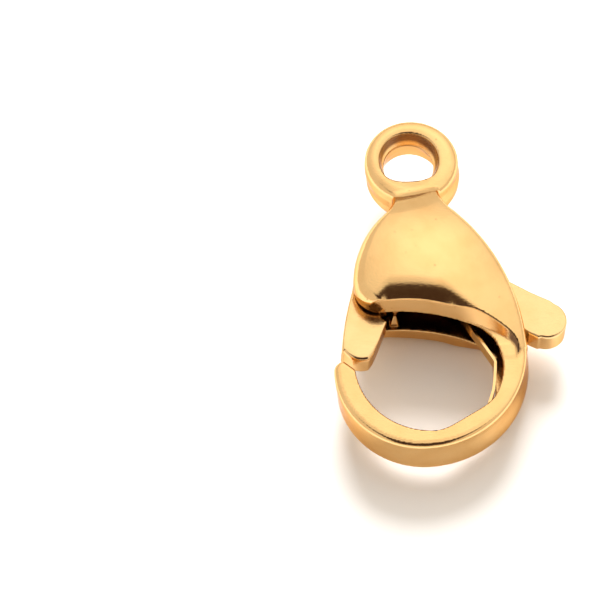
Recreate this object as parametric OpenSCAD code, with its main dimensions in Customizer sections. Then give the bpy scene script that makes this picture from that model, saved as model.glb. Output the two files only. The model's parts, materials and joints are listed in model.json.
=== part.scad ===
// Lobster clasp, in millimetres.
// The origin is the centre of the eyelet's bore. The hook lies towards -Y, the gate towards -X
// and the thumb tab towards +X. Z = 0 is the plane halfway through the casting.

/* [Eyelet] */
// diameter of the hole that the jump ring goes through
eyelet_bore = 1.96; // [1.7:0.02:2.2]
// outside diameter of the eyelet
eyelet_outer = 3; // [2.7:0.05:3.4]
// how far the rim's centre lies beside the hole's centre
eyelet_offset = 0.12; // [0:0.02:0.2]
// thickness of the eyelet
eyelet_thick = 1.6; // [1.4:0.02:1.64]
// rounding of the eyelet's outer edges
eyelet_round = 0.3; // [0.1:0.02:0.4]

/* [Neck] */
// width of the web that joins the eyelet to the cheeks
neck_width = 1.5; // [1.2:0.05:1.8]
// height of the neck's slope above the middle plane where it leaves the eyelet
neck_low = 0.9; // [0.84:0.02:1]
// height of the neck's slope above the middle plane where it meets the dome
neck_high = 1.18; // [1.05:0.02:1.3]
// corner cut along the neck's four long edges
neck_bevel = 0.25; // [0.1:0.05:0.4]

/* [Cheeks] */
// half of the thickness over both cheeks at the crown of the dome
crown_half = 1.65; // [1.5:0.05:1.8]
// radius of the domed faces
dome_radius = 9; // [8.5:0.1:10]
// distance from the bore to the crown of the dome
crown_reach = 4.7; // [4.4:0.1:5]
// radius of the side above the tab, seen from the front
side_radius = 7.92; // [7.7:0.02:8.2]
// distance of that side from the bore at its widest
side_reach = 3.24; // [3.2:0.01:3.3]
// distance down from the bore to that side's widest point
side_drop = 7.49; // [7.3:0.01:7.7]
// radius of the side above the gate, seen from the front
back_radius = 3.42; // [3.3:0.02:3.6]
// distance of that side from the bore at its widest
back_reach = 2.21; // [2.18:0.01:2.3]
// distance down from the bore to that side's widest point
back_drop = 4.83; // [4.7:0.01:4.95]
// radius of the lobe's lower corner around the pivot
lobe_radius = 0.82; // [0.75:0.01:0.84]
// depth over which the cheeks roll off at the mouth
roll_width = 0.75; // [0.5:0.05:0.9]

/* [Mouth] */
// radius of the cheeks' edge over the mouth
mouth_radius = 6.2; // [5.9:0.1:6.5]
// distance down from the bore to the top of the mouth
mouth_drop = 5.53; // [5.5:0.01:5.6]
// distance of the mouth edge's top beside the bore, on the gate's side
mouth_back = 1.2; // [1.1:0.05:1.3]
// radius of the throat where the cheeks turn into the hook
throat_radius = 1.56; // [1.52:0.01:1.6]
// distance down from the bore to the throat's centre
throat_drop = 7.58; // [7.54:0.01:7.62]

/* [Hook] */
// thickness of the hook
hook_thick = 1.5; // [1.4:0.05:1.6]
// distance from the bore to the bottom of the hook
hook_drop = 10.54; // [10.45:0.01:10.6]
// distance of the hook's lowest point beside the bore
hook_side = 0.32; // [0.28:0.01:0.36]
// outer radius on the root's side
root_radius = 3.56; // [3.54:0.01:3.62]
// outer radius on the tip's side
tip_radius = 2.8; // [2.78:0.01:2.9]
// inner radius of the hook
inner_radius = 2.43; // [2.38:0.01:2.45]
// distance down from the bore to the inner radius's centre
inner_drop = 7.52; // [7.45:0.01:7.56]
// distance down from the bore to the hook's tip
tip_drop = 7.25; // [7.23:0.01:7.35]
// rounding of the tip's outer corner
tip_round = 0.35; // [0.25:0.01:0.38]
// slant of the tip's end face that the gate closes on
tip_slant = 43; // [35:1:50]
// corner cut along the hook's outer edges
hook_bevel = 0.1; // [0.05:0.01:0.15]
// height of the flat pad inside the hook, under the spring's foot
pad_height = 0.17; // [0.1:0.01:0.2]
// direction of the pad from the inner radius's centre
pad_angle = 61; // [58:1:64]

/* [Slot and groove] */
// height of the slot between the cheeks
slot_height = 1.2; // [1.1:0.02:1.24]
// distance from the bore to the slot's closed end
slot_drop = 1.8; // [1.75:0.05:1.95]
// height of the spring's groove inside the hook
groove_height = 0.88; // [0.84:0.02:0.96]
// depth of that groove in the hook's inner wall
groove_depth = 0.18; // [0.14:0.01:0.24]
// direction in which the groove's closed end lies from the inner radius's centre
groove_angle = 42; // [40:1:44]
// width of the stop post at the cheeks
post_width = 0.26; // [0.2:0.02:0.28]
// width of the stop post halfway up
post_waist = 0.08; // [0.06:0.01:0.12]
// distance of the post beside the pivot, towards the tab
post_side = 0.58; // [0.56:0.01:0.62]
// distance down from the pivot to the post
post_below = 0.75; // [0.74:0.01:0.76]
// direction in which the slot's foot lies from the throat's centre
slot_foot_angle = 17; // [14:1:20]
// slant of the slot's foot, from the throat out to the side
slot_foot_slant = 32; // [28:1:36]

/* [Lever] */
// thickness of the lever
lever_thick = 0.92; // [0.86:0.02:0.98]
// distance of the pivot beside the bore, on the gate's side
pivot_back = 1.48; // [1.46:0.01:1.5]
// distance down from the bore to the pivot
pivot_drop = 4.6; // [4.58:0.01:4.64]
// radius of the hub around the pivot
hub_radius = 0.65; // [0.6:0.01:0.66]
// radius of the gate's bowed outer edge
gate_bow = 10.36; // [10.2:0.02:10.6]
// how far that edge stands out beside the pivot
gate_reach = 1.4; // [1.36:0.01:1.42]
// distance down from the pivot to the bow's centre
gate_bow_drop = 3.53; // [3.4:0.01:3.6]
// distance from the pivot to the gate's tip
gate_length = 2.65; // [2.6:0.01:2.68]
// radius of the gate's rounded tip
gate_tip_radius = 0.68; // [0.64:0.01:0.7]
// radius of the thumb tab's round end
tab_radius = 0.66; // [0.62:0.01:0.68]
// distance from the pivot to the tab's far end
arm_length = 6.35; // [6.25:0.01:6.4]
// direction in which the tab lies from the pivot, below the line across
tab_angle = 14.9; // [14:0.1:16]

/* [Pivot pin] */
// radius of the hidden pin
pin_radius = 0.3; // [0.25:0.01:0.34]
// length of the pin, most of it inside the cheeks
pin_length = 2; // [1.8:0.05:2.2]
// gap around the pin in the lever's hole
lever_clearance = 0.03; // [0.02:0.01:0.05]
// gap around the pin in the cheeks' blind seats
seat_clearance = 0.01; // [0.005:0.005:0.02]

/* [Leaf spring] */
// thickness of the strip
strip_thick = 0.09; // [0.07:0.01:0.11]
// height of the strip
strip_height = 0.8; // [0.74:0.02:0.82]

/* [Hidden] */
gold = [0.86, 0.68, 0.36];
// half the reach of the cutters, more than any piece's half height or half width
past = 1.3 * side_reach;
// what joins on to another solid runs into it by this much
bury = slot_height / 20;

rim_radius = eyelet_outer / 2;
side_at = [side_reach - side_radius, -side_drop];
back_at = [back_radius - back_reach, -back_drop];
mouth_at = [-mouth_back, -mouth_drop - mouth_radius];
inner_at = [0, -inner_drop];
throat_at = [inner_radius - throat_radius, -throat_drop];
root_at = [-hook_side, root_radius - hook_drop];
tip_at = [-hook_side, tip_radius - hook_drop];
lobe_at = [lobe_radius - back_reach, lobe_radius - mouth_drop];
tip_corner = [tip_at[0] - tip_radius + tip_round, -tip_drop - tip_round];
pivot = [-pivot_back, -pivot_drop];
tab_at = pivot + (arm_length - tab_radius) * [cos(tab_angle), -sin(tab_angle)];
// where the edge over the mouth runs into the throat
throat_join = 0.617 * inner_radius;
// where the two cheek outlines meet behind the neck
ridge = side_reach / 21.6;
// where the side above the tab runs into the hook's outer radius
side_end = 0.954 * side_drop;
// where the dome has sunk into the hook's flat face
cheek_end = 1.055 * side_drop;
post_at = pivot + [post_side, -post_below];
slot_foot = throat_at + throat_radius * [cos(slot_foot_angle), sin(slot_foot_angle)];
neck_start = (eyelet_bore / 2 + rim_radius) / 2;
neck_rise_end = slot_drop + neck_bevel;
neck_end = slot_drop + neck_width / 2;

// the gate's edge curves about a centre on the tab's side, so that it passes the hub
gate_bow_at = pivot + [gate_bow - gate_reach, -gate_bow_drop];
gate_tip_at = pivot + (gate_length - gate_tip_radius) * [-0.32, -0.95];

// the gate's inner edge from its tip to the arm, with the notch that clears the post and the heel
// that the spring presses: across and up from the pivot, as shares of the gate's length
gate_inner = [
    [-0.102, -0.875],
    [-0.011, -0.687],
    [0.098, -0.445],
    [0.03, -0.385],
    [0.023, -0.302],
    [0.057, -0.234],
    [0.125, -0.211],
    [0.181, -0.166],
    [0.242, -0.158],
    [0.264, -0.094],
    [0.332, -0.008],
];
// the arm's lower edge from the heel to the tab: across and up from the pivot, as shares of the
// arm's length
arm_lower = [[0.376, 0], [0.58, -0.11], [0.726, -0.266], [0.769, -0.303], [0.813, -0.33]];
// the arm's upper edge from the tab to the hub, in the same shares
arm_upper = [
    [0.893, -0.118],
    [0.844, -0.091],
    [0.794, -0.062],
    [0.697, 0.003],
    [0.62, 0.071],
    [0.533, 0.119],
    [0.376, 0.134],
    [0.139, 0.11],
];

// the strip's line from its foot in the groove to the lever's heel: across and up from the centre
// of the hook's inner radius, as shares of that radius
strip_line = [
    [0.79, -0.617],
    [0.872, -0.444],
    [0.922, -0.239],
    [0.922, -0.033],
    [0.852, 0.173],
    [0.728, 0.395],
    [0.576, 0.675],
    [0.42, 0.914],
    [0.247, 1.066],
    [0.021, 1.111],
    [-0.165, 1.095],
    [-0.305, 1.021],
];
strip_steps = 4;

function arc(at, r, from, to, steps) =
    [for (i = [0 : steps]) let (a = from + (to - from) * i / steps) at + r * [cos(a), sin(a)]];

// a smooth curve through four points, t from the second to the third
function between(a, b, c, d, t) =
    0.5 * (2 * b + (c - a) * t + (2 * a - 5 * b + 4 * c - d) * t * t
        + (3 * b - a - 3 * c + d) * t * t * t);

function smooth(p, steps) = let (last = len(p) - 1) concat(
    [for (i = [0 : last - 1], k = [0 : steps - 1])
        between(p[max(i - 1, 0)], p[i], p[i + 1], p[min(i + 2, last)], k / steps)],
    [p[last]]
);

function offset_side(p, d) = let (last = len(p) - 1)
    [for (i = [0 : last]) let (
        v = p[min(i + 1, last)] - p[max(i - 1, 0)],
        n = [-v[1], v[0]] / norm(v)
    ) p[i] + d * n];

function reversed(p) = [for (i = [len(p) - 1 : -1 : 0]) p[i]];

function placed(shares, length, at) = [for (q = shares) at + length * q];

module plate(points, height)
    translate([0, 0, -height / 2]) linear_extrude(height) polygon(points);

module block(low, high, height)
    translate([low[0], low[1], -height / 2])
        cube([high[0] - low[0], high[1] - low[1], height]);

module disc(at, r, height)
    translate([at[0], at[1], -height / 2]) cylinder(h = height, r = r);

// a disc with both rims cut at 45 degrees
module bevelled_disc(at, r, height, cut)
    translate(at) rotate_extrude() polygon([
        [0, -height / 2],
        [r - cut, -height / 2],
        [r, cut - height / 2],
        [r, height / 2 - cut],
        [r - cut, height / 2],
        [0, height / 2],
    ]);

// everything inside the mouth, which no casting fills
module mouth() {
    intersection() {
        disc(mouth_at, mouth_radius, 2 * past);
        block([-inner_radius, -inner_drop], [throat_join, 0], 2 * past);
    }
    intersection() {
        disc(throat_at, throat_radius, 2 * past);
        block(throat_at, [past, 0], 2 * past);
    }
    difference() {
        intersection() {
            disc(inner_at, inner_radius, 2 * past);
            block([-past, -hook_drop], [past, -inner_drop], 2 * past);
        }
        translate(inner_at) rotate([0, 0, -pad_angle])
            block([inner_radius - pad_height, -past], [past, past], 2 * past);
    }
}

// what the rolled edge over the mouth takes off the dome, on the upper side
module roll_off() {
    bend = roll_width / sin(45);
    inside = mouth_radius + roll_width;
    low = crown_half - bend;
    ramp = 1.6 * roll_width;
    translate(mouth_at) difference() {
        rotate_extrude() polygon([
            [mouth_radius - ramp, low + roll_width - ramp],
            [mouth_radius, low + roll_width],
            [inside, low],
            [inside, past],
            [mouth_radius - ramp, past],
        ]);
        rotate_extrude() translate([inside, low]) circle(r = bend);
    }
}

module cheeks() {
    difference() {
        intersection() {
            translate([ridge, -crown_reach, crown_half - dome_radius]) sphere(r = dome_radius);
            translate([ridge, -crown_reach, dome_radius - crown_half]) sphere(r = dome_radius);
            union() {
                intersection() {
                    disc(side_at, side_radius, 2 * past);
                    block([ridge, -side_end], [past, -slot_drop], 2 * past);
                }
                intersection() {
                    disc(root_at, root_radius, 2 * past);
                    block([ridge, -cheek_end], [past, -side_end], 2 * past);
                }
                intersection() {
                    disc(back_at, back_radius, 2 * past);
                    block([-past, -inner_drop], [ridge, -slot_drop], 2 * past);
                }
            }
        }
        for (side = [0, 1]) mirror([0, 0, side]) roll_off();
        difference() {
            block([-past, -inner_drop], lobe_at, 2 * past);
            disc(lobe_at, lobe_radius, 3 * past);
        }
    }
}

module hook() {
    difference() {
        union() {
            intersection() {
                bevelled_disc(root_at, root_radius, hook_thick, hook_bevel);
                block([-hook_side, -hook_drop], [past, -side_end], hook_thick);
            }
            intersection() {
                bevelled_disc(tip_at, tip_radius, hook_thick, hook_bevel);
                block([-past, -hook_drop], [-hook_side, -tip_drop], hook_thick);
            }
        }
        difference() {
            block([-past, tip_corner[1]], [tip_corner[0], 0], 2 * past);
            disc(tip_corner, tip_round, 3 * past);
        }
        translate([tip_corner[0], -tip_drop]) rotate([0, 0, -tip_slant])
            block([0, 0], 3 * tip_round * [1, 1], 2 * past);
    }
}

module eyelet() {
    translate([eyelet_offset, 0]) rotate_extrude() {
        translate([0, -eyelet_thick / 2]) square([rim_radius - eyelet_round, eyelet_thick]);
        translate([0, eyelet_round - eyelet_thick / 2])
            square([rim_radius, eyelet_thick - 2 * eyelet_round]);
        for (side = [-1, 1])
            translate([rim_radius - eyelet_round, side * (eyelet_thick / 2 - eyelet_round)])
                circle(r = eyelet_round);
    }
}

// the web between the eyelet and the cheeks, sloping up to the dome
module neck() {
    half = neck_width / 2;
    intersection() {
        translate([eyelet_offset - half, 0, 0]) rotate([90, 0, 90]) linear_extrude(neck_width)
            polygon([
                [-neck_start, neck_low],
                [-neck_rise_end, neck_high],
                [-neck_end, neck_high],
                [-neck_end, -neck_high],
                [-neck_rise_end, -neck_high],
                [-neck_start, -neck_low],
            ]);
        translate([eyelet_offset, 0, 0]) rotate([90, 0, 0]) linear_extrude(past)
            polygon([
                [half, neck_high - neck_bevel],
                [half - neck_bevel, neck_high],
                [neck_bevel - half, neck_high],
                [-half, neck_high - neck_bevel],
                [-half, neck_bevel - neck_high],
                [neck_bevel - half, -neck_high],
                [half - neck_bevel, -neck_high],
                [half, neck_bevel - neck_high],
            ]);
    }
}

// the gap that the lever swings in, rounded at its closed end
module slot() {
    end = slot_drop + slot_height / 2;
    plate([
        [-past, -end],
        [past, -end],
        slot_foot + past * [cos(slot_foot_slant), sin(slot_foot_slant)],
        slot_foot,
        [-past, slot_foot[1]],
    ], slot_height);
    translate([-past, -end, 0]) rotate([0, 90, 0]) cylinder(h = 2 * past, r = slot_height / 2);
}

// the groove that guides the spring up the hook's inner wall
module groove() {
    intersection() {
        disc(inner_at, inner_radius + groove_depth, groove_height);
        plate([
            inner_at,
            inner_at + past * [cos(groove_angle), -sin(groove_angle)],
            slot_foot + [past, slot_height / 5],
            slot_foot + [-throat_radius, slot_height / 5],
        ], groove_height);
    }
}

// the post across the slot: two points that meet halfway up
module stop_post() {
    half = slot_height / 2;
    for (side = [0, 1]) mirror([0, 0, side]) translate([post_at[0], post_at[1], 0])
        rotate([0, 0, 45])
            cylinder(h = half + bury, r1 = post_waist / sqrt(2), r2 = post_width / sqrt(2), $fn = 4);
}

module frame() color(gold) {
    difference() {
        union() {
            cheeks();
            hook();
            eyelet();
            neck();
        }
        mouth();
        slot();
        groove();
        disc([0, 0], eyelet_bore / 2, 2 * past);
        disc(pivot, pin_radius + seat_clearance, pin_length + 2 * seat_clearance);
    }
    stop_post();
}

module lever() color(gold) {
    difference() {
        plate(concat(
            arc(gate_bow_at, gate_bow, 159.2, 172.5, 4),
            arc(gate_tip_at, gate_tip_radius, 206, 288, 6),
            placed(gate_inner, gate_length, pivot),
            placed(arm_lower, arm_length, pivot),
            arc(tab_at, tab_radius, -112, 62, 10),
            placed(arm_upper, arm_length, pivot),
            arc(pivot, hub_radius, 60, 165, 6)
        ), lever_thick);
        disc(pivot, pin_radius + lever_clearance, past);
    }
}

module leaf_spring() color(gold) {
    line = smooth(placed(strip_line, inner_radius, inner_at), strip_steps);
    plate(concat(
        offset_side(line, strip_thick / 2),
        reversed(offset_side(line, -strip_thick / 2))
    ), strip_height);
}

module pivot_pin() color(gold)
    disc(pivot, pin_radius, pin_length);

frame();
lever();
leaf_spring();
pivot_pin();
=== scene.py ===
"""Lobster clasp in polished gold plate: casting, lever, leaf spring and pin, dressed over the CAD solids.

The casting and the lever are carved as signed-distance shapes in millimetres, drawn out as meshes with
their true surface normals, and ride on the CAD bodies. The scene is laid out in the part's own frame:
the origin is the centre of the eyelet's hole and Z = 0 is the casting's middle plane.
"""

import json
import logging
import math
from collections.abc import Callable
from dataclasses import dataclass
from enum import Enum

import bpy
import numpy as np
from mathutils import Matrix, Vector

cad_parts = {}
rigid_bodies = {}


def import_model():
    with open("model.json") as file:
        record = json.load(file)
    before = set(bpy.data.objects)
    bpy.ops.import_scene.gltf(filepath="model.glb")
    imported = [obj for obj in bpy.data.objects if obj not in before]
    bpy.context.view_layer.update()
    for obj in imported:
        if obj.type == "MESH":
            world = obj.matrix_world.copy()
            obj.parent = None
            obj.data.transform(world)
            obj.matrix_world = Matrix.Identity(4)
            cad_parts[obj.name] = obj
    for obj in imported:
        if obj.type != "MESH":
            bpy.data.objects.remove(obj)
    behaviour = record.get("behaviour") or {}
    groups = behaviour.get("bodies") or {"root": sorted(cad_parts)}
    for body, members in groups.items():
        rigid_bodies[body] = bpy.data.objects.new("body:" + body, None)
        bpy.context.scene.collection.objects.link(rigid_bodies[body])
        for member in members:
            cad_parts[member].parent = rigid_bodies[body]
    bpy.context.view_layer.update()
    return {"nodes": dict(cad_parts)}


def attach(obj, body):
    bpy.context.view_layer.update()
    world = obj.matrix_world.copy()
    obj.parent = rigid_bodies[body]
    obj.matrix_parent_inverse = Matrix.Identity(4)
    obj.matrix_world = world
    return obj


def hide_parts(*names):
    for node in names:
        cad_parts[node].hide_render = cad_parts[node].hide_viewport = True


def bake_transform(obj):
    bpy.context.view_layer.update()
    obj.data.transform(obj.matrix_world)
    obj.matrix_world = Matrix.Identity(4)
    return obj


LOG = logging.getLogger("clasp")
MM = 0.001
Point = tuple[float, float]
Triple = tuple[float, float, float]
Field = np.ndarray
Socket = bpy.types.NodeSocket
Colour = Triple | Socket
Shape = Callable[[Field, Field, Field], Field]
Inputs = dict[str | int, object]

# the eight corners of a cell, as steps from its lowest one
CORNERS = tuple(np.ndindex(2, 2, 2))
# centres of the arcs that both the casting and the lever's dark parts follow
MOUTH_AT: Point = (-1.2, -11.73)
SIDE_AT: Point = (-4.68, -7.49)


class Body(Enum):
    """The moving bodies of the clasp."""

    CASTING = "casting"
    LEVER = "gate_lever"


class Slot(Enum):
    """The record's material slots."""

    CAST = "cast_gold_plate"
    LEVER = "lever_gold_plate"
    SPRING = "spring_gold_plate"
    PIN = "pin_steel"


def span(x: Field, y: Field, at: Point) -> Field:
    """Distance in plan from a point."""
    return np.hypot(x - at[0], y - at[1])


def meet(a: Field, b: Field, r: float | Field) -> Field:
    """Solid that both hold, with its edge rounded to radius r."""
    u, v = np.maximum(a + r, 0), np.maximum(b + r, 0)
    return np.minimum(np.maximum(a, b), -r) + np.hypot(u, v)


def join(a: Field, b: Field, r: float) -> Field:
    """Solid that either holds, with a fillet of radius r where they meet."""
    return -meet(-a, -b, r)


def cut(a: Field, b: Field, r: float) -> Field:
    """Solid a without b, with its edge rounded to radius r."""
    return meet(a, -b, r)


def wall(x: Field, y: Field, points: list[Point]) -> Field:
    """Signed distance in plan to a closed outline, negative inside.

    Args:
        x, y: Places in mm.
        points: The outline's corners in order.

    Returns:
        The distance at each place.
    """
    best = np.full(np.broadcast(x, y).shape, 1e9)
    inside = np.zeros(best.shape, bool)
    for (ax, ay), (bx, by) in zip(points, points[1:] + points[:1]):
        ex, ey = bx - ax, by - ay
        t = np.clip(((x - ax) * ex + (y - ay) * ey) / (ex * ex + ey * ey), 0, 1)
        best = np.minimum(best, np.hypot(x - ax - t * ex, y - ay - t * ey))
        crosses = (ay > y) != (by > y)
        if ey:
            inside ^= crosses & (x < ax + (y - ay) * ex / ey)
    return np.where(inside, -best, best)


def step(t: Field) -> Field:
    """Rises smoothly from 0 at 0 to 1 at 1."""
    t = np.clip(t, 0, 1)
    return t * t * (3 - 2 * t)


def fade(t: Field, start: float, width: float) -> Field:
    """Rises evenly from 0 at the start to 1 a width further on."""
    return np.clip((t - start) / width, 0, 1)


def tilted(u: Field, v: Field, angle: float) -> Field:
    """First of two coordinates after a turn by an angle in degrees."""
    return u * math.cos(math.radians(angle)) - v * math.sin(math.radians(angle))


def arc(at: Point, r: float, ends: Point, steps: int) -> list[Point]:
    """Points along an arc between two angles in degrees."""
    angles = np.radians(np.linspace(*ends, steps + 1))
    return [(at[0] + r * math.cos(a), at[1] + r * math.sin(a)) for a in angles]


def smooth(points: tuple[Point, ...], steps: int) -> list[Point]:
    """A smooth open line through a few points.

    Args:
        points: The points it goes through.
        steps: Steps between two of them.

    Returns:
        The line's points.
    """
    p = np.array([points[0], *points, points[-1]])
    out = []
    for a, b, c, d in zip(p[:-3], p[1:-2], p[2:-1], p[3:]):
        for t in np.arange(steps) / steps:
            bend = (2 * a - 5 * b + 4 * c - d) * t**2 + (3 * b - a - 3 * c + d) * t**3
            out.append(0.5 * (2 * b + (c - a) * t + bend))
    out.append(p[-1])
    return [(float(q[0]), float(q[1])) for q in out]


def link(name: str, data: bpy.types.ID) -> bpy.types.Object:
    """Makes an object and links it to the scene.

    Args:
        name: Its name.
        data: Its mesh, camera or light.

    Returns:
        The object.
    """
    made = bpy.data.objects.new(name, data)
    bpy.context.scene.collection.objects.link(made)
    return made


@dataclass(frozen=True)
class Carving:
    """Draws a signed-distance shape out as a mesh with its own surface normals.

    Args:
        low: Lowest corner of the block it is carved from, in millimetres.
        high: Highest corner.
        cell: Side of one cell in millimetres.
        turns: How often the vertices are moved towards the true surface.
        near_share: Half the width over which a slope is read, as a share of a cell.
        reach_share: How far a vertex may move, as a share of a cell.
        slope_least: The least slope that a move is divided by.
    """

    low: Triple
    high: Triple
    cell: float
    turns: int = 3
    near_share: float = 0.12
    reach_share: float = 0.5
    slope_least: float = 0.3

    def grid(self) -> tuple[Field, Field, Field]:
        """The block's sample places along the three axes, ready to broadcast."""
        axes = [np.arange(a, b + self.cell, self.cell) for a, b in zip(self.low, self.high)]
        return axes[0][:, None, None], axes[1][None, :, None], axes[2][None, None, :]

    def draw(self, name: str, shape: Shape) -> bpy.types.Object:
        """Carves the shape.

        Args:
            name: The new object's name.
            shape: Its signed distance, from places x, y, z in millimetres.

        Returns:
            The object, in metres.
        """
        gx, gy, gz = self.grid()
        value = np.ascontiguousarray(np.broadcast_to(shape(gx, gy, gz), (gx.size, gy.size, gz.size)))
        inside = value < 0
        cells, ids = self._cells(inside)
        verts = np.array([gx.flat[0], gy.flat[0], gz.flat[0]]) + self.cell * self._crossings(value, cells)
        faces = self._faces(inside, ids)
        verts, normals = self._settle(verts, shape)
        mesh = bpy.data.meshes.new(name)
        mesh.vertices.add(len(verts))
        mesh.vertices.foreach_set("co", (verts * MM).astype(np.float32).ravel())
        mesh.loops.add(faces.size)
        mesh.loops.foreach_set("vertex_index", faces.astype(np.int32).ravel())
        mesh.polygons.add(len(faces))
        mesh.polygons.foreach_set("loop_start", np.arange(0, faces.size, 4, dtype=np.int32))
        mesh.update(calc_edges=True)
        mesh.validate()
        mesh.shade_smooth()
        mesh.normals_split_custom_set_from_vertices(normals)
        return link(name, mesh)

    def _cells(self, inside: np.ndarray) -> tuple[np.ndarray, np.ndarray]:
        """Finds the cells that the surface passes through.

        Args:
            inside: Whether each sample is in the solid.

        Returns:
            Their places in the block, and the number of each cell of the block or -1.
        """
        n = inside.shape
        total = np.zeros([k - 1 for k in n], np.int8)
        for i, j, k in CORNERS:
            total += inside[i : n[0] - 1 + i, j : n[1] - 1 + j, k : n[2] - 1 + k]
        cells = np.argwhere((total > 0) & (total < 8))
        ids = np.full(total.shape, -1, np.int64)
        ids[tuple(cells.T)] = np.arange(len(cells))
        return cells, ids

    def _crossings(self, value: Field, cells: np.ndarray) -> Field:
        """Puts one vertex in each cell, at the mean of where the surface crosses the cell's edges.

        Args:
            value: The signed distance at each sample.
            cells: The cells' places in the block.

        Returns:
            The vertices' places, in cells from the block's lowest corner.
        """
        places = np.zeros((len(cells), 3))
        count = np.zeros(len(cells))
        for a in CORNERS:
            for b in CORNERS:
                if sum(b) - sum(a) != 1 or any(q < p for p, q in zip(a, b)):
                    continue
                va = value[tuple((cells + a).T)]
                vb = value[tuple((cells + b).T)]
                hit = (va < 0) != (vb < 0)
                t = np.where(hit, va / np.where(hit, va - vb, 1), 0)
                places[hit] += (np.array(a) + t[:, None] * (np.array(b) - np.array(a)))[hit]
                count += hit
        return cells + places / count[:, None]

    @staticmethod
    def _faces(inside: np.ndarray, ids: np.ndarray) -> np.ndarray:
        """Joins the four cells round each edge that crosses the surface.

        Args:
            inside: Whether each sample is in the solid.
            ids: The vertex number of each cell, or -1.

        Returns:
            One row of four vertex numbers for each face.
        """
        n = inside.shape
        found = []
        for axis in range(3):
            u, v = (axis + 1) % 3, (axis + 2) % 3
            here = [slice(1, n[k] - 1) for k in range(3)]
            there = list(here)
            here[axis], there[axis] = slice(0, n[axis] - 1), slice(1, n[axis])
            a, b = inside[tuple(here)], inside[tuple(there)]
            for crossing, flip in ((a & ~b, False), (~a & b, True)):
                at = np.argwhere(crossing)
                at[:, u] += 1
                at[:, v] += 1
                ring = []
                for du, dv in ((0, 0), (-1, 0), (-1, -1), (0, -1)):
                    q = at.copy()
                    q[:, u] += du
                    q[:, v] += dv
                    ring.append(ids[tuple(q.T)])
                quad = np.stack(ring, 1)
                found.append(quad[:, ::-1] if flip else quad)
        faces = np.concatenate(found)
        return faces[(faces >= 0).all(1)]

    def _settle(self, verts: Field, shape: Shape) -> tuple[Field, Field]:
        """Moves vertices on to the true surface and reads its normals there.

        Args:
            verts: Rough vertex places.
            shape: The signed distance.

        Returns:
            The settled places and the unit normals.
        """
        near = self.near_share * self.cell
        reach = self.reach_share * self.cell
        start = verts.copy()
        for turn in range(self.turns + 1):
            value = shape(*verts.T)
            shifts = near * np.eye(3)
            slope = np.stack([shape(*(verts + s).T) - shape(*(verts - s).T) for s in shifts], 1) / (2 * near)
            size = np.maximum(np.linalg.norm(slope, axis=1), self.slope_least)
            if turn < self.turns:
                move = -(value / size**2)[:, None] * slope
                verts = start + np.clip(verts + move - start, -reach, reach)
        return verts, slope / size[:, None]


@dataclass(frozen=True)
class Nodes:
    """The nodes of one shader, added one by one.

    Args:
        tree: The shader's node tree.
    """

    tree: bpy.types.NodeTree

    def feed(self, node: bpy.types.Node, inputs: Inputs) -> None:
        """Sets or wires a node's inputs.

        Args:
            node: The node.
            inputs: For each input its value, or the output that feeds it.
        """
        for name, value in inputs.items():
            if isinstance(value, Socket):
                self.tree.links.new(value, node.inputs[name])
            else:
                node.inputs[name].default_value = value

    def add(self, kind: str, inputs: Inputs, output: str | int = 0, **settings: str) -> Socket:
        """Adds a node.

        Args:
            kind: Its type, without the leading ShaderNode.
            inputs: For each input its value, or the output that feeds it.
            output: Which of its outputs is wanted.
            settings: The node's other settings.

        Returns:
            That output.
        """
        made = self.tree.nodes.new("ShaderNode" + kind)
        for name, value in settings.items():
            setattr(made, name, value)
        self.feed(made, inputs)
        return made.outputs[output]

    def noise(self, place: Socket, size: float, detail: float) -> Socket:
        """A noise pattern with so many features to the millimetre."""
        return self.add("TexNoise", {"Vector": place, "Scale": size, "Detail": detail})

    def ranged(self, value: Socket, start: Point, to: Point = (0, 1), **settings: str) -> Socket:
        """A value mapped from one range on to another."""
        ends = {"From Min": start[0], "From Max": start[1], "To Min": to[0], "To Max": to[1]}
        return self.add("MapRange", {"Value": value, **ends}, **settings)

    def bumped(self, height: Socket, depth: float, under: Inputs) -> Socket:
        """A pattern as a bump of a depth in millimetres, on top of another one if there is one."""
        return self.add("Bump", {"Height": height, "Distance": depth * MM, **under})

    def mixed(self, share: Socket, first: Colour, second: Triple) -> Socket:
        """Two colours mixed by the share of the second one."""
        first = first if isinstance(first, Socket) else (*first, 1)
        return self.add("Mix", {"Factor": share, "A": first, "B": (*second, 1)}, "Result", data_type="RGBA")


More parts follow.
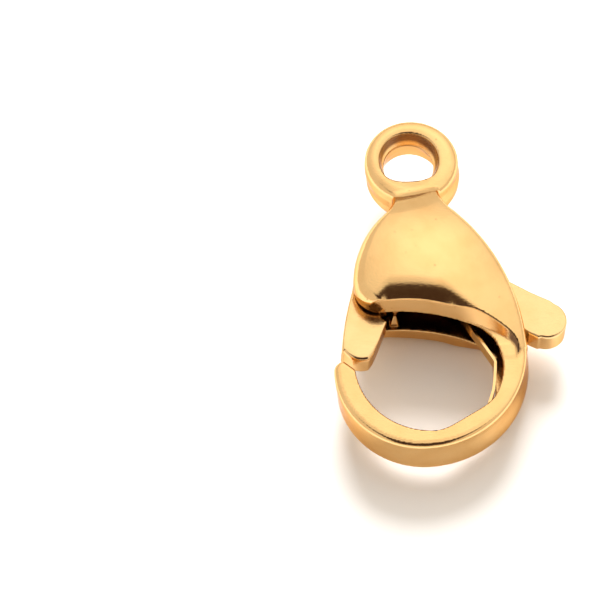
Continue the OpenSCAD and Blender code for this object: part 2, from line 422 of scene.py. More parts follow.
@dataclass(frozen=True)
class PolishedGold:
    """Polished gold plate over steel: warm metal, faint clouding, fine polishing lines and small pits, with
    painted shade mixed in where a mesh marks it.

    Pattern sizes are features to the millimetre, depths are bump heights in millimetres.

    Args:
        name: The material's name.
        tint: The metal's colour at normal view.
        shade: Its colour where the plate is thinner.
        rough: Base roughness.
        grain: Depth of the cast grain.
        lines: Depth of the polishing lines.
        pits: How many pits show, from 0 to 1.
        edge: Colour of its gloss at a grazing view.
        shade_paint_colour: Colour of the painted shade in the clasp's shadowed slot, throat and hole.
        cloud_size: Size of the clouding.
        cloud_range: The noise values between which it comes in.
        smear_size: Size of the polish's uneven gloss.
        smear_range: The noise values between which the gloss changes.
        smear_shares: Its least and most roughness, as shares of the base roughness.
        grain_size: Size of the cast grain.
        line_size: Size of the polishing lines, across them.
        line_turn: Direction of the polishing lines in degrees.
        line_squeeze: How much shorter than their size its features are along each axis, as a share.
        pit_size: Size of the net of pits.
        pit_depth: Depth of the pits.
        pit_least: Their width where hardly any show.
        pit_more: How much wider they are where all of them show.
    """

    name: str
    tint: Triple
    shade: Triple
    rough: float
    grain: float = 0.003
    lines: float = 0.0012
    pits: float = 0.3
    edge: Triple = (0.7, 0.5, 0.36)
    # painted shade: the dark colour that stands for shadow in the clasp's recesses
    shade_paint_colour: Triple = (0.13, 0.06, 0.037)
    cloud_size: float = 1.1
    cloud_range: Point = (0.42, 0.68)
    smear_size: float = 9.0
    smear_range: Point = (0.35, 0.7)
    smear_shares: Point = (0.82, 1.25)
    grain_size: float = 16.0
    line_size: float = 30.0
    line_turn: float = 28.0
    line_squeeze: Triple = (0.06, 1, 0.4)
    pit_size: float = 2.2
    pit_depth: float = 0.02
    pit_least: float = 0.03
    pit_more: float = 0.08

    def material(self) -> bpy.types.Material:
        """Builds the node material.

        Returns:
            The material.
        """
        made = bpy.data.materials.new(self.name)
        made.use_nodes = True
        nodes = Nodes(made.node_tree)
        place = nodes.add("TexCoord", {}, "Object")
        place = nodes.add("Mapping", {"Vector": place, "Scale": (1 / MM,) * 3})
        turn = (0, 0, math.radians(self.line_turn))
        along = nodes.add("Mapping", {"Vector": place, "Scale": self.line_squeeze, "Rotation": turn})
        cloud = nodes.ranged(nodes.noise(place, self.cloud_size, 3), self.cloud_range)
        # painted shade: the marked share darkens the colour towards the painted shade colour
        inside = nodes.add("Attribute", {}, "Fac", attribute_name="inside")
        colour = nodes.mixed(inside, nodes.mixed(cloud, self.tint, self.shade), self.shade_paint_colour)
        gloss = tuple(share * self.rough for share in self.smear_shares)
        smear = nodes.ranged(nodes.noise(place, self.smear_size, 4), self.smear_range, gloss)
        height = nodes.bumped(nodes.noise(place, self.grain_size, 3), self.grain, {})
        height = nodes.bumped(nodes.noise(along, self.line_size, 2), self.lines, {"Normal": height})
        pores = nodes.add("TexVoronoi", {"Vector": place, "Scale": self.pit_size})
        dents = nodes.ranged(pores, (0.0, self.pit_least + self.pit_more * self.pits))
        height = nodes.bumped(dents, self.pit_depth, {"Normal": height})
        look = {"Metallic": 1.0, "Specular Tint": (*self.edge, 1), "Base Color": colour}
        nodes.feed(made.node_tree.nodes["Principled BSDF"], {**look, "Roughness": smear, "Normal": height})
        return made


def shade(piece: bpy.types.Object, depth: Shape) -> None:
    """Marks each vertex with how much painted shade darkens it where the clasp's recesses are in shadow.

    Args:
        piece: The mesh to mark.
        depth: Share of painted shade, from 0 unshaded to 1 fully shaded, from places in millimetres.
    """
    mesh = piece.data
    co = np.empty(3 * len(mesh.vertices), np.float32)
    mesh.vertices.foreach_get("co", co)
    x, y, z = (co.reshape(-1, 3) / MM).T
    mark = mesh.attributes.new("inside", "FLOAT", "POINT")
    mark.data.foreach_set("value", np.asarray(depth(x, y, z), np.float32))


def dress(piece: bpy.types.Object, material: bpy.types.Material) -> None:
    """Gives a piece its one material.

    Args:
        piece: The piece.
        material: Its material.
    """
    piece.data.materials.clear()
    piece.data.materials.append(material)


@dataclass(frozen=True)
class ShadeFades:
    """Painted shade inside the casting: how much it darkens the plate, from 0 to 1, and where each part of
    it comes in.

    A pair is the start and the width of a fade, in millimetres.
    """

    # the slot's walls, less dark on the post, to the right and at the foot
    slot_wall: Point = (-0.05, 0.02)
    slot_mouth: Point = (0.0, 0.16)
    slot_side: Point = (0.0, 0.3)
    post: Point = (0.005, 0.03)
    post_least: float = 0.2
    right: Point = (0.9, 0.6)
    right_loss: float = 0.4
    foot: Point = (-7.0, 0.5)
    foot_least: float = 0.2
    # the shelf below the spring
    shelf: float = 0.2
    shelf_edge: Point = (-0.04, 0.02)
    # the steep wall over the ledge in the throat
    recess: float = 0.9
    recess_side: Point = (2.62, 0.12)
    recess_foot: Point = (-7.75, 0.05)
    recess_rim: Point = (-0.02, 0.03)
    recess_level: Point = (0.77, 0.03)
    # the eyelet's hole, the band under its upper rim and its waist
    bore: float = 0.15
    bore_edge: Point = (-1.12, 0.08)
    band: float = 0.75
    band_low: Point = (0.35, 0.12)
    band_high: Point = (-0.77, 0.03)
    waist: float = 0.55
    waist_edge: Point = (-0.09, 0.09)


@dataclass
class Casting:
    """The clasp's one casting: eyelet, neck, two domed cheeks, hook, groove, pad and stop post. Sizes in mm.

    The two halves of its mould met a little off, so the lower half stands beside the upper one. A fade
    is a start and a width, as the function of that name takes them. The slants of crown, roll and post
    are about the cosine of the face's slope: they turn a height over the face into a distance.
    """

    finish: PolishedGold
    block: tuple[Triple, Triple] = ((-3.3, -10.8, -1.8), (3.6, 1.7, 1.8))
    cell: float = 0.05
    # the lower half's shift at the mouth and at the eyelet, and the heights over which it comes in
    mismatch: Point = (0.13, -0.09)
    mismatch_height: float = 1.3
    rim_mismatch: Point = (0.1, -0.07)
    rim_mismatch_height: float = 0.5
    # the eyelet's hole: it narrows to a waist and is flatter by the neck
    bore_radius: float = 0.98
    bore_waist: float = 0.16
    waist_at: float = 0.2
    waist_above: float = 0.6
    waist_below: float = 1.0
    waist_bend: float = 1.2
    bore_flat: float = 0.82
    bore_flat_round: float = 0.3
    bore_round: float = 0.05
    # the eyelet's ring, a little wider than long, with a crowned face that is flat by the neck
    rim_radius: float = 1.54
    rim_squash: float = 1.04
    rim_side: float = 0.09
    rim_half: float = 0.8
    rim_shift: float = 0.07
    rim_round: float = 0.14
    crown_radius: float = 1.16
    crown_fall: float = 0.09
    crown_most: float = 1.2
    crown_fade: Point = (-1.4, 0.5)
    crown_slant: float = 0.95
    # the neck, and the slope that rises from it to the dome
    neck_half: float = 0.75
    neck_ends: Point = (1.1, 2.6)
    neck_round: float = 0.35
    neck_low: float = 0.79
    neck_foot: float = 1.29
    neck_angle: float = 34.5
    neck_skew: float = 0.16
    neck_reach: Point = (-0.8, 0.9)
    slope_round: float = 0.1
    # the cheeks' dome and their outline, which is softer round the lobe on the left
    crown: Triple = (0.15, -4.7, 1.65)
    dome_radius: float = 9.0
    side_at: Point = SIDE_AT
    side_radius: float = 7.97
    side_end: float = 7.15
    back_at: Point = (1.21, -4.83)
    back_radius: float = 3.46
    lobe_at: Point = (-1.39, -4.71)
    lobe_radius: float = 0.84
    edge_round: float = 0.16
    lobe_round: float = 0.34
    soft_across: float = 1.4
    soft_along: Point = (2.2, 1.2)
    # the mouth, its leaning upper wall and the ledge in its throat on the right
    mouth_at: Point = MOUTH_AT
    mouth_radius: float = 6.2
    throat_at: Point = (0.87, -7.58)
    throat_radius: float = 1.56
    throat_start: float = 1.5
    throat_foot: float = 7.55
    throat_end: float = 3.05
    throat_round: float = 0.35
    gap_foot: float = 7.0
    opening_foot: float = 8.3
    lean_left: float = 0.09
    lean_right: float = 0.12
    lean_ledge: float = 0.1
    right_fade: Point = (0.9, 0.9)
    rim_height: float = 1.37
    rim_lowest: float = 0.9
    # the rolled edge over the mouth, which fades to the right and round the lobe
    roll_width: float = 0.8
    roll_most: float = 1.2
    roll_bend: float = 1.66
    roll_right: float = 0.88
    roll_right_fade: Point = (0.5, 1.5)
    roll_left: float = 0.9
    roll_left_fade: Point = (-0.3, 0.9)
    roll_top: float = 0.4
    roll_slant: float = 0.87
    # the hook: inner wall, root on the right, tip on the left, and its face, which falls a little outwards
    inner_at: Point = (0.0, -7.52)
    inner_radius: float = 2.43
    root_at: Point = (-0.32, -6.98)
    root_radius: float = 3.56
    root_top: float = 6.9
    tip_at: Point = (-0.32, -7.74)
    tip_radius: float = 2.8
    tip_drop: float = 7.25
    tip_round: float = 0.35
    tip_slant: float = 43.0
    hook_half: float = 0.75
    hook_round: float = 0.13
    fall_width: float = 0.22
    fall_depth: float = 0.03
    pad_height: float = 0.17
    pad_angle: float = 61.0
    pad_round: float = 0.12
    # the slot that the lever swings in
    slot_end: float = 1.8
    slot_half: float = 0.6
    slot_foot: Point = (2.36, -7.12)
    slot_slant: float = 32.0
    # the spring's groove in the hook, and the shelf that closes it below the spring
    groove_half: float = 0.44
    groove_depth: float = 0.18
    groove_angle: float = 42.0
    groove_side: float = 1.2
    shelf_at: float = 2.19
    shelf_ends: Point = (-8.75, -6.95)
    shelf_level: float = -0.52
    shelf_half: float = 0.2
    # the stop post between the cheeks
    post_at: Point = (-0.9, -5.35)
    post_half: float = 0.13
    post_waist: float = 0.04
    post_bury: float = 0.1
    post_slant: float = 0.95
    # edges and joins between these forms
    mouth_edge: float = 0.03
    hook_edge: float = 0.04
    hook_join: float = 0.03
    eyelet_join: float = 0.1
    slot_edge: float = 0.03
    groove_edge: float = 0.02
    # painted shade: how much the slot, throat, shelf and hole are darkened
    shade_fades: ShadeFades = ShadeFades()

    def rightward(self, x: Field) -> Field:
        """0 over the mouth, rising to 1 in the throat on the right."""
        return step(fade(x, *self.right_fade))

    def mouth(self, x: Field, y: Field) -> Field:
        """Plan distance to the open mouth, negative inside it.

        Args:
            x, y: Places in mm.

        Returns:
            Distances, negative inside.
        """
        upper = np.where(
            x < self.throat_start,
            span(x, y, self.mouth_at) - self.mouth_radius,
            span(x, y, self.throat_at) - self.throat_radius,
        )
        chord = tilted(x - self.inner_at[0], y - self.inner_at[1], self.pad_angle)
        chord = chord - (self.inner_radius - self.pad_height)
        lower = meet(span(x, y, self.inner_at) - self.inner_radius, chord, self.pad_round)
        return np.where(y < np.where(x > 0, -self.throat_foot, -self.gap_foot), lower, upper)

    def rim(self, x: Field, y: Field) -> Field:
        """Plan distance to the opening's upper edge, negative inside it.

        Args:
            x, y: Places in mm.

        Returns:
            Distances, negative inside.
        """
        reach = span(x, y, self.mouth_at) - self.mouth_radius
        lean = self.lean_left + self.lean_right * self.rightward(x)
        return meet(reach - lean, x - self.throat_end, self.throat_round)

    def opening(self, x: Field, y: Field, h: Field) -> Field:
        """Distance to the cheeks' opening, which is wider than the mouth above the ledge in the throat.

        Args:
            x, y: Places in mm.
            h: Heights above the middle plane.

        Returns:
            Distances, negative inside.
        """
        right = self.rightward(x)
        ledge = self.slot_half + (self.hook_half - self.slot_half) * right
        top = self.rim_height + (np.maximum(self.dome(x, y), self.rim_lowest) - self.rim_height) * right
        share = np.clip((h - ledge) / (top - ledge), 0, 1)
        rim = self.rim(x, y) + (self.lean_left + self.lean_ledge * right) * (1 - share)
        above = np.maximum(rim, np.maximum(ledge - h, -self.opening_foot - y))
        return np.minimum(self.mouth(x, y), above)

    def dome(self, x: Field, y: Field) -> Field:
        """Height of the cheeks' dome."""
        fall = self.dome_radius**2 - span(x, y, self.crown[:2]) ** 2
        return self.crown[2] - self.dome_radius + np.sqrt(np.maximum(fall, (self.dome_radius / 3) ** 2))

    def roll(self, x: Field, y: Field, h: Field) -> Field:
        """The cheeks' rolled edge over the mouth and round the lobe, gone towards the throat.

        Args:
            x, y: Places in mm.
            h: Heights above the middle plane.

        Returns:
            Distances, negative inside.
        """
        corner = (x < self.lobe_at[0]) & (y < self.lobe_at[1])
        lobe = self.lobe_radius - self.lean_left - span(x, y, self.lobe_at)
        inner = np.where(corner, lobe, self.rim(x, y))
        right = step(fade(x, *self.roll_right_fade))
        left = step(fade(self.lobe_at[0] - x, *self.roll_left_fade))
        wide = self.roll_width * (1 - self.roll_right * right) * (1 - self.roll_left * left)
        along = np.clip(wide - inner, 0, self.roll_most * self.roll_width)
        drop = self.roll_bend - np.sqrt(self.roll_bend**2 - along**2)
        over = self.roll_slant * (h - self.dome(x, y) + drop)
        return np.where(y > self.lobe_at[1] + self.roll_top, -1.0, over)

    def slope(self, x: Field, y: Field, h: Field) -> Field:
        """The slope that rises from the eyelet's face to the dome, a little later on the left."""
        foot = self.neck_foot - self.neck_skew * np.clip(x, *self.neck_reach)
        return tilted(h - self.neck_low, -y - foot, self.neck_angle)

    def cheeks(self, x: Field, y: Field, z: Field) -> Field:
        """Both domed cheeks, still filled between them.

        Args:
            x, y, z: Places in mm.

        Returns:
            Distances, negative inside.
        """
        h = np.abs(z)
        cx, cy, top = self.crown
        dome = np.sqrt((x - cx) ** 2 + (y - cy) ** 2 + (h - top + self.dome_radius) ** 2) - self.dome_radius
        side = np.where(
            y < -self.side_end,
            span(x, y, self.root_at) - self.root_radius,
            span(x, y, self.side_at) - self.side_radius,
        )
        back = span(x, y, self.back_at) - self.back_radius
        plan = np.where(x > cx, side, back)
        corner = span(x, y, self.lobe_at) - self.lobe_radius
        corner = np.where((x < self.lobe_at[0]) & (y < self.lobe_at[1]), corner, -1.0)
        plan = np.maximum(plan, corner)
        ends = np.maximum(y + self.neck_ends[0], -y - self.neck_ends[1])
        neck = np.maximum(np.abs(x - self.rim_side) - self.neck_half, ends)
        plan = join(plan, neck, self.neck_round)
        soft = fade(-x, -cx, self.soft_across) * fade(-y, *self.soft_along)
        edge = meet(dome, plan, self.edge_round + (self.lobe_round - self.edge_round) * soft)
        edge = meet(edge, self.slope(x, y, h), self.slope_round)
        return np.maximum(edge, self.roll(x, y, h))

    def hook(self, x: Field, y: Field, z: Field) -> Field:
        """The hook from the tip round to the root, before the mouth is cleared.

        Args:
            x, y, z: Places in mm.

        Returns:
            Distances, negative inside.
        """
        h = np.abs(z)
        root = span(x, y, self.root_at) - self.root_radius
        tip = span(x, y, self.tip_at) - self.tip_radius
        plan = np.where(x > self.root_at[0], root, tip)
        corner = (self.tip_at[0] - self.tip_radius + self.tip_round, -self.tip_drop - self.tip_round)
        rounded = np.where((x < corner[0]) & (y > corner[1]), span(x, y, corner) - self.tip_round, -1.0)
        slant = tilted(y + self.tip_drop, corner[0] - x, self.tip_slant)
        top = np.where(x > self.root_at[0], y + self.root_top, np.maximum(y + self.tip_drop, slant))
        fall = fade(plan, -self.fall_width, self.fall_width) * self.fall_depth
        plan = np.maximum(np.maximum(plan, rounded), top)
        return meet(h - self.hook_half + fall, plan, self.hook_round)

    def eyelet(self, x: Field, y: Field, z: Field) -> Field:
        """The ring with its soft rims.

        Args:
            x, y, z: Places in mm.

        Returns:
            Distances, negative inside.
        """
        r = np.hypot(x - self.rim_side, self.rim_squash * y)
        away = np.clip((r - self.crown_radius) / (self.rim_radius - self.crown_radius), 0, self.crown_most)
        top = self.rim_half - self.crown_fall * away**2 * fade(y, *self.crown_fade)
        return meet(r - self.rim_radius, self.crown_slant * (np.abs(z) - top), self.rim_round)

    def bore(self, x: Field, y: Field, z: Field) -> Field:
        """The eyelet's hole, narrower at the parting line and flatter by the neck, negative inside it.

        Args:
            x, y, z: Places in mm.

        Returns:
            Distances, negative inside.
        """
        reach = np.where(z > self.waist_at, self.waist_above, self.waist_below)
        near = np.clip(1 - np.abs(z - self.waist_at) / reach, 0, 1)
        round_hole = np.hypot(x, y) - self.bore_radius + self.bore_waist * near**self.waist_bend
        return meet(round_hole, -y - self.bore_flat, self.bore_flat_round)

    def slot(self, x: Field, y: Field, z: Field) -> Field:
        """The gap that the lever swings in, negative inside it.

        Args:
            x, y, z: Places in mm.

        Returns:
            Distances, negative inside.
        """
        end = -self.slot_end - self.slot_half
        gap = np.where(y > end, np.hypot(y - end, z), np.abs(z) + 0 * y) - self.slot_half
        foot = -tilted(y - self.slot_foot[1], x - self.slot_foot[0], self.slot_slant)
        return np.maximum(np.maximum(gap, foot), -self.side_end - y)

    def groove(self, x: Field, y: Field, z: Field) -> Field:
        """The spring's groove up the hook's inner wall, negative inside it.

        Args:
            x, y, z: Places in mm.

        Returns:
            Distances, negative inside.
        """
        deep = span(x, y, self.inner_at) - self.inner_radius - self.groove_depth
        foot = tilted(self.inner_at[1] - y, x - self.inner_at[0], self.groove_angle)
        room = np.maximum(np.maximum(foot, y + self.root_top), self.groove_side - x)
        return np.maximum(np.maximum(deep, np.abs(z) - self.groove_half), room)

    def post(self, x: Field, y: Field, z: Field) -> Field:
        """The stop post: two four-sided points that meet halfway up.

        Args:
            x, y, z: Places in mm.

        Returns:
            Distances, negative inside.
        """
        wide = self.post_waist + (self.post_half - self.post_waist) * np.abs(z) / self.slot_half
        box = np.maximum(np.abs(x - self.post_at[0]), np.abs(y - self.post_at[1])) - wide
        return np.maximum(self.post_slant * box, np.abs(z) - self.slot_half - self.post_bury)

    def shelf(self, x: Field, y: Field, z: Field) -> Field:
        """The shelf that closes the groove below the spring.

        Args:
            x, y, z: Places in mm.

        Returns:
            Distances, negative inside.
        """
        back = span(x, y, self.inner_at) - self.inner_radius - self.groove_depth
        low, high = self.shelf_ends
        ends = np.maximum(y - high, low - y)
        plan = np.maximum(np.maximum(self.shelf_at - x, back), ends)
        return np.maximum(plan, np.abs(z - self.shelf_level) - self.shelf_half)

    def shape(self, x: Field, y: Field, z: Field) -> Field:
        """Signed distance to the whole casting.

        Args:
            x, y, z: Places in mm.

        Returns:
            Distances, negative inside.
        """
        low = step(0.5 - z / self.mismatch_height)
        sx, sy = x - self.mismatch[0] * low, y - self.mismatch[1] * low
        low = np.clip(0.5 - z / self.rim_mismatch_height, 0, 1)
        ex = x - self.rim_mismatch[0] * low
        ey = y - self.rim_mismatch[1] * low + self.rim_shift * (1 - low)
        body = cut(self.cheeks(x, y, z), self.opening(sx, sy, np.abs(z)), self.mouth_edge)
        hook = cut(self.hook(sx, sy, z), self.mouth(sx, sy), self.hook_edge)
        solid = join(body, hook, self.hook_join)
        solid = join(solid, self.eyelet(ex, ey, z), self.eyelet_join)
        solid = cut(solid, self.slot(x, y, z), self.slot_edge)
        solid = cut(solid, self.groove(x, y, z), self.groove_edge)
        solid = cut(solid, self.bore(ex, ey, z), self.bore_round)
        return np.minimum(solid, np.minimum(self.post(x, y, z), self.shelf(x, y, z)))

    def slot_shade(self, x: Field, y: Field, z: Field) -> Field:
        """How much painted shade darkens the slot's walls: less on the post, to the right and at the foot.

        Args:
            x, y, z: Places in mm.

        Returns:
            Shares from 0 to 1.
        """
        shade_fades = self.shade_fades
        found = fade(-self.slot(x, y, z), *shade_fades.slot_wall) * fade(self.mouth(x, y), *shade_fades.slot_mouth)
        side = self.side_radius - span(x, y, self.side_at)
        back = self.back_radius - span(x, y, self.back_at)
        found = found * fade(np.minimum(side, back), *shade_fades.slot_side)
        found = found * np.maximum(fade(self.post(x, y, z), *shade_fades.post), shade_fades.post_least)
        right = 1 - shade_fades.right_loss * step(fade(x, *shade_fades.right))
        return found * right * np.maximum(fade(y, *shade_fades.foot), shade_fades.foot_least)

    def recess_shade(self, x: Field, y: Field, z: Field) -> Field:
        """How much painted shade darkens the steep wall over the throat's ledge.

        Args:
            x, y, z: Places in mm.

        Returns:
            Shares from 0 to 1.
        """
        shade_fades = self.shade_fades
        across = step(fade(x, *shade_fades.recess_side)) * fade(y, *shade_fades.recess_foot)
        over = fade(-self.rim(x, y), *shade_fades.recess_rim) * fade(z, *shade_fades.recess_level)
        return shade_fades.recess * across * over

    def bore_shade(self, x: Field, y: Field, z: Field) -> Field:
        """How much painted shade darkens the eyelet's hole: most under its upper rim and at the waist.

        Args:
            x, y, z: Places in mm.

        Returns:
            Shares from 0 to 1.
        """
        shade_fades = self.shade_fades
        near = fade(-np.hypot(x, y), *shade_fades.bore_edge)
        band = shade_fades.band * fade(z, *shade_fades.band_low) * fade(-z, *shade_fades.band_high)
        waist = shade_fades.waist * fade(-np.abs(z - self.waist_at), *shade_fades.waist_edge)
        return near * (shade_fades.bore + np.maximum(band, waist))

    def painted_shade(self, x: Field, y: Field, z: Field) -> Field:
        """How much painted shade darkens a place in the slot, throat, shelf and hole, from 0 to 1.

        Args:
            x, y, z: Places in mm.

        Returns:
            Shares from 0 to 1.
        """
        shelf = self.shade_fades.shelf * fade(-self.shelf(x, y, z), *self.shade_fades.shelf_edge)
        found = np.maximum(self.slot_shade(x, y, z), shelf)
        found = np.maximum(found, self.recess_shade(x, y, z))
        return np.maximum(found, self.bore_shade(x, y, z))

    def build(self) -> bpy.types.Object:
        """Carves and dresses the casting and puts it in the CAD node's place.

        Returns:
            The casting.
        """
        piece = Carving(*self.block, self.cell).draw("casting_gold", self.shape)
        # paints shade into the slot, throat, shelf and hole through the marked share
        shade(piece, self.painted_shade)
        dress(piece, self.finish.material())
        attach(piece, Body.CASTING.value)
        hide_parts("frame")
        return piece


@dataclass
class Lever:
    """Gate, hub, arm and thumb tab in one piece. Sizes in mm."""

    finish: PolishedGold
    block: tuple[Triple, Triple] = ((-3.0, -7.5, -0.6), (4.9, -3.5, 0.6))
    cell: float = 0.04
    pivot: Point = (-1.48, -4.6)
    hub_radius: float = 0.65
    hub_arc: Point = (60, 165)
    bore_radius: float = 0.33
    half: float = 0.46
    edge: float = 0.06
    # the gate: its bowed outer edge, its rounded and softer tip, and its inner edge as shares of its length
    bow_radius: float = 10.36
    bow_reach: float = 1.4
    bow_drop: float = 3.53
    bow_arc: Point = (159.2, 172.5)
    gate_length: float = 2.65
    gate_way: Point = (-0.32, -0.95)
    tip_radius: float = 0.68
    tip_arc: Point = (206, 288)
    tip_bevel: float = 0.07
    tip_fade: float = 0.5
    gate_inner: tuple[Point, ...] = (
        (-0.102, -0.875), (-0.011, -0.687), (0.098, -0.445), (0.03, -0.385), (0.023, -0.302),
        (0.057, -0.234), (0.125, -0.211), (0.181, -0.166), (0.242, -0.158), (0.264, -0.094),
        (0.332, -0.008),
    )
    # the arm and the thumb tab: the arm's edges are shares of its length
    arm_length: float = 6.35
    tab_radius: float = 0.66
    tab_angle: float = 14.9
    tab_arc: Point = (-112, 62)
    arm_lower: tuple[Point, ...] = (
        (0.376, 0.0), (0.58, -0.11), (0.726, -0.266), (0.769, -0.303), (0.813, -0.33),
    )
    arm_upper: tuple[Point, ...] = (
        (0.893, -0.118), (0.844, -0.091), (0.794, -0.062), (0.697, 0.003), (0.62, 0.071),
        (0.533, 0.119), (0.376, 0.134), (0.139, 0.11),
    )
    # painted shade darkens the arm behind the mouth's edge, inside the cheeks' side and right of the gate
    mouth_at: Point = MOUTH_AT
    mouth_fade: Point = (6.25, 0.16)
    side_at: Point = SIDE_AT
    side_fade: Point = (-7.7, 0.3)
    gate_fade: Point = (-1.2, 0.3)

    def tip_at(self) -> Point:
        """Centre of the gate's rounded tip."""
        reach = self.gate_length - self.tip_radius
        return (self.pivot[0] + self.gate_way[0] * reach, self.pivot[1] + self.gate_way[1] * reach)

    def placed(self, shares: tuple[Point, ...], length: float) -> list[Point]:
        """Shares of a length as places from the pivot."""
        return [(self.pivot[0] + length * a, self.pivot[1] + length * b) for a, b in shares]

    def outline(self) -> list[Point]:
        """The lever's closed outline in plan.

        Returns:
            Its corners in order.
        """
        px, py = self.pivot
        a = math.radians(self.tab_angle)
        reach = self.arm_length - self.tab_radius
        tab = (px + reach * math.cos(a), py - reach * math.sin(a))
        bow = (px + self.bow_radius - self.bow_reach, py - self.bow_drop)
        return [
            *arc(bow, self.bow_radius, self.bow_arc, 12),
            *arc(self.tip_at(), self.tip_radius, self.tip_arc, 16),
            *self.placed(self.gate_inner, self.gate_length),
            *self.placed(self.arm_lower, self.arm_length),
            *arc(tab, self.tab_radius, self.tab_arc, 30),
            *self.placed(self.arm_upper, self.arm_length),
            *arc(self.pivot, self.hub_radius, self.hub_arc, 16),
        ]

    def shape(self, x: Field, y: Field, z: Field) -> Field:
        """Signed distance to the lever.

        Args:
            x, y, z: Places in mm.

        Returns:
            Distances, negative inside.
        """
        near_tip = fade(-y, -self.tip_at()[1], self.tip_fade)
        rounding = self.edge + self.tip_bevel * near_tip
        solid = meet(np.abs(z) - self.half, wall(x, y, self.outline()), rounding)
        return np.maximum(solid, self.bore_radius - span(x, y, self.pivot))

    def painted_shade(self, x: Field, y: Field, z: Field) -> Field:
        """How much painted shade darkens a place of the arm behind the mouth's edge, from 0 to 1."""
        found = fade(span(x, y, self.mouth_at), *self.mouth_fade) * fade(x, *self.gate_fade)
        return found * fade(-span(x, y, self.side_at), *self.side_fade) + 0 * z

    def build(self) -> bpy.types.Object:
        """Carves and dresses the lever and puts it in the CAD node's place.

        Returns:
            The lever.
        """
        piece = Carving(*self.block, self.cell).draw("lever_gold", self.shape)
        # paints shade on the arm behind the mouth's edge
        shade(piece, self.painted_shade)
        dress(piece, self.finish.material())
        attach(piece, Body.LEVER.value)
        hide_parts("lever")
        return piece


@dataclass
class Spring:
    """The leaf spring: a thin strip from its foot in the groove to the lever's heel. Sizes in mm."""

    finish: PolishedGold
    thick: float = 0.09
    half: float = 0.26
    shift: float = 0.08
    # its straight foot in the groove, its bent leaf, and where the leaf starts to follow the lever
    foot: tuple[Point, ...] = (
        (1.88, -8.92), (1.96, -8.72), (2.06, -8.45), (2.13, -8.1), (2.18, -7.75), (2.215, -7.45),
    )
    leaf: tuple[Point, ...] = (
        (2.18, -7.35), (1.8, -6.63), (1.41, -5.9), (1.02, -5.34), (0.6, -4.99), (0.05, -4.86),
        (-0.4, -4.9), (-0.74, -5.06),
    )
    leaf_steps: int = 6
    loose_at: Point = (1.41, -5.9)

    def build(self) -> bpy.types.Object:
        """Bends and dresses the strip and hides the CAD spring.

        Returns:
            The strip.
        """
        line = np.array([*self.foot, *smooth(self.leaf, self.leaf_steps)]) + (0, self.shift)
        along = np.gradient(line, axis=0)
        across = np.stack([-along[:, 1], along[:, 0]], 1) / np.linalg.norm(along, axis=1)[:, None]
        ring = [(0.5, -1.0), (0.5, 1.0), (-0.5, 1.0), (-0.5, -1.0)]
        verts = [
            ((p[0] + n[0] * a * self.thick) * MM, (p[1] + n[1] * a * self.thick) * MM, b * self.half * MM)
            for p, n in zip(line, across)
            for a, b in ring
        ]
        last = 4 * (len(line) - 1)
        faces = [(0, 3, 2, 1), (last, last + 1, last + 2, last + 3)]
        for i in range(0, last, 4):
            faces += [(i + k, i + (k + 1) % 4, i + 4 + (k + 1) % 4, i + 4 + k) for k in range(4)]
        mesh = bpy.data.meshes.new("spring_strip")
        mesh.from_pydata(verts, [], faces)
        mesh.update()
        piece = link("spring_strip", mesh)
        dress(piece, self.finish.material())
        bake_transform(piece)
        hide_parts("leaf_spring")
        return piece


@dataclass(frozen=True)
class Card:
    """A soft-edged bright or dark card in the sky. Angles in degrees.

    Args:
        tilt: Angle from straight up, towards the back; negative towards the viewer.
        side: Angle towards the right.
        tall: Half of its height.
        wide: Half of its width.
        soft: Width of its edge.
        colour: Its radiance.
    """

    tilt: float
    side: float
    tall: float
    wide: float
    soft: float
    colour: Triple


@dataclass(frozen=True)
class Lamp:
    """A round soft lamp.

    Args:
        name: Its name.
        tilt: Angle from straight up, towards the back.
        size: Its width in millimetres.
        power: Its power in watts.
    """

    name: str
    tilt: float
    size: float
    power: float


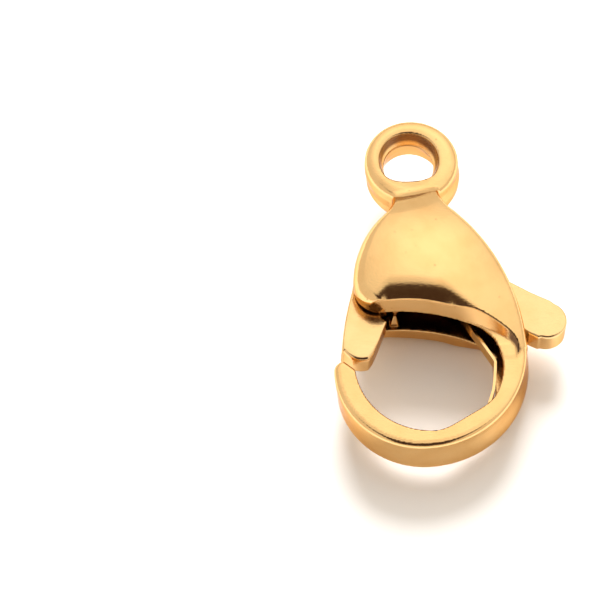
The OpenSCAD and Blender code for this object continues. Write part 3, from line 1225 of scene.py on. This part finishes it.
@dataclass
class Studio:
    """Plain pale floor, soft sky and the camera, placed for the clasp as it rests. Sizes in mm."""

    # how the clasp lies in the room, in degrees and millimetres
    pitch: float = 3.71967
    roll: float = 2.13631
    turn: float = 4.87
    rest_at: Triple = (3.5495, 5.0071, 0.0)
    # the camera: it looks at the room's origin
    elevation: float = 60.0
    distance: float = 330.0
    pixels_per_mm: float = 30.5132
    image_side: int = 600
    sensor: float = 36.0
    # the lower cheek's dome, which the floor touches
    dome_centre: Triple = (0.15, -4.7, 7.35)
    dome_radius: float = 9.0
    # the floor
    floor_half: float = 900.0
    floor_colour: Triple = (0.96, 0.955, 0.95)
    floor_rough: float = 0.6
    floor_gloss: float = 0.1
    # the sky's own light, the cards in it and the lamps, which light the floor but don't show in the gold
    horizon: Triple = (0.86, 0.79, 0.7)
    cards: tuple[Card, ...] = (
        Card(16, 28, 4, 8, 24, (1.25, 1.14, 1.0)),
        Card(36, 6, 4, 4, 27, (1.55, 1.42, 1.25)),
        Card(-33, 4, 28, 22, 4, (0.06, 0.035, 0.025)),
    )
    lamps: tuple[Lamp, ...] = (Lamp("key", 51, 230, 2.35), Lamp("fill", -12, 330, 0.15))
    lamp_distance: float = 400.0

    def rest(self) -> Matrix:
        """Turns places in the room into the clasp's own frame, in millimetres.

        Returns:
            The turn and the shift.
        """
        turned = (
            Matrix.Rotation(math.radians(self.turn), 4, "Z")
            @ Matrix.Rotation(math.radians(self.pitch), 4, "X")
            @ Matrix.Rotation(math.radians(self.roll), 4, "Y")
        )
        return (Matrix.Translation(self.rest_at) @ turned).inverted()

    def floor_level(self) -> float:
        """Height in the room of the floor that the lower dome touches."""
        return (self.rest().inverted() @ Vector(self.dome_centre)).z - self.dome_radius

    def place(self, obj: bpy.types.Object, at: Vector, aim: Vector) -> None:
        """Puts an object at a place in the room, facing another, in the clasp's frame.

        Args:
            obj: The object.
            at: Its place.
            aim: The place it faces.
        """
        room = self.rest()
        start, end = room @ at, room @ aim
        up = room.to_3x3() @ Vector((0, 0, 1))
        back = (start - end).normalized()
        right = up.cross(back).normalized()
        turn = Matrix((right, back.cross(right), back)).transposed()
        obj.matrix_world = Matrix.Translation(start * MM) @ turn.to_4x4()

    def camera(self) -> None:
        """Makes the camera at the photograph's angle and framing."""
        data = bpy.data.cameras.new("photo_camera")
        data.sensor_width = self.sensor
        data.lens = self.pixels_per_mm * self.distance * self.sensor / self.image_side
        data.clip_start, data.clip_end = 0.01, 10
        made = link("photo_camera", data)
        e = math.radians(self.elevation)
        at = Vector((0, -self.distance * math.cos(e), self.distance * math.sin(e)))
        self.place(made, at, Vector((0, 0, 0)))
        bpy.context.scene.camera = made

    def sky(self) -> None:
        """Paints the room's soft fields of light on the world."""
        world = bpy.data.worlds.new("room")
        world.use_nodes = True
        nodes = Nodes(world.node_tree)
        view = nodes.add("TexCoord", {}, "Generated")
        room = self.rest().to_3x3()

        def leaning(way: Vector) -> Socket:
            """How far a direction leans along a way in the room."""
            return nodes.add("VectorMath", {0: view, 1: room @ way}, "Value", operation="DOT_PRODUCT")

        def within(way: Vector, limit: float, soft: float) -> Socket:
            """1 where a direction leans along the way by less than the limit, 0 beyond its soft edge."""
            size, ends = nodes.add("Math", {0: leaning(way)}, operation="ABSOLUTE"), (limit + soft, limit)
            return nodes.ranged(size, tuple(np.sin(np.radians(ends))), interpolation_type="SMOOTHSTEP")

        def times(a: Socket, b: Socket) -> Socket:
            """The product of two values."""
            return nodes.add("Math", {0: a, 1: b}, operation="MULTIPLY")

        colour = self.horizon
        for card in self.cards:
            turned = Matrix.Rotation(math.radians(-card.tilt), 3, "X")
            side = math.radians(card.side)
            centre = turned @ Vector((math.sin(side), 0, math.cos(side)))
            up = turned @ Vector((0, 1, 0))
            facing = nodes.add("Math", {0: leaning(centre), 1: 0.0}, operation="GREATER_THAN")
            field = times(within(up, card.tall, card.soft), within(up.cross(centre), card.wide, card.soft))
            colour = nodes.mixed(times(field, facing), colour, card.colour)
        nodes.feed(world.node_tree.nodes["Background"], {"Color": colour, "Strength": 1.0})
        bpy.context.scene.world = world

    def floor(self) -> None:
        """Makes the pale floor under the resting clasp."""
        level = self.floor_level()
        room = self.rest()
        signs = ((-1, -1), (1, -1), (1, 1), (-1, 1))
        corners = [room @ Vector((a * self.floor_half, b * self.floor_half, level)) * MM for a, b in signs]
        mesh = bpy.data.meshes.new("floor")
        mesh.from_pydata([tuple(c) for c in corners], [], [(0, 1, 2, 3)])
        made = link("floor", mesh)
        paint = bpy.data.materials.new("white_ground")
        paint.use_nodes = True
        shader = paint.node_tree.nodes["Principled BSDF"]
        shader.inputs["Base Color"].default_value = (*self.floor_colour, 1)
        shader.inputs["Roughness"].default_value = self.floor_rough
        shader.inputs["Specular IOR Level"].default_value = self.floor_gloss
        mesh.materials.append(paint)

    def hang(self, lamp: Lamp) -> None:
        """Hangs a large soft lamp that lights the floor.

        Args:
            lamp: Its name, place, size and power.
        """
        data = bpy.data.lights.new(lamp.name, "AREA")
        data.shape = "DISK"
        data.size = lamp.size * MM
        data.energy = lamp.power
        made = link(lamp.name, data)
        made.visible_glossy = False
        a = math.radians(lamp.tilt)
        self.place(made, self.lamp_distance * Vector((0, math.sin(a), math.cos(a))), Vector((0, 0, 0)))

    def build(self) -> None:
        """Sets up the room."""
        bpy.context.scene.view_settings.view_transform = "Standard"
        self.sky()
        for lamp in self.lamps:
            self.hang(lamp)
        self.floor()
        self.camera()


def main() -> None:
    """Builds every piece in order and reports it."""
    logging.basicConfig(level=logging.INFO, format="%(message)s")
    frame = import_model()
    cast = PolishedGold("cast_gold", tint=(0.94, 0.62, 0.28), shade=(0.9, 0.57, 0.245), rough=0.15)
    flat = PolishedGold(
        "lever_gold_plate",
        tint=(0.94, 0.655, 0.325),
        shade=(0.91, 0.6, 0.28),
        rough=0.16,
        grain=0.0022,
        lines=0.001,
        pits=0.1,
    )
    strip = PolishedGold(
        "spring_gold_strip",
        tint=(0.95, 0.67, 0.32),
        shade=(0.88, 0.58, 0.25),
        rough=0.14,
        grain=0.001,
        lines=0.001,
        pits=0.0,
    )
    LOG.info("casting: %s", Casting(cast).build().name)
    LOG.info("lever: %s", Lever(flat).build().name)
    LOG.info("leaf spring: %s", Spring(strip).build().name)
    pin = frame["nodes"]["pivot_pin"]
    dress(pin, strip.material())
    LOG.info("pivot pin: %s", pin.name)
    Studio().build()
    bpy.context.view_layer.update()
    for piece in bpy.context.scene.objects:
        if piece.type == "MESH":
            LOG.info("%s: %d triangles", piece.name, sum(len(p.vertices) - 2 for p in piece.data.polygons))


if __name__ == "__main__":
    main()
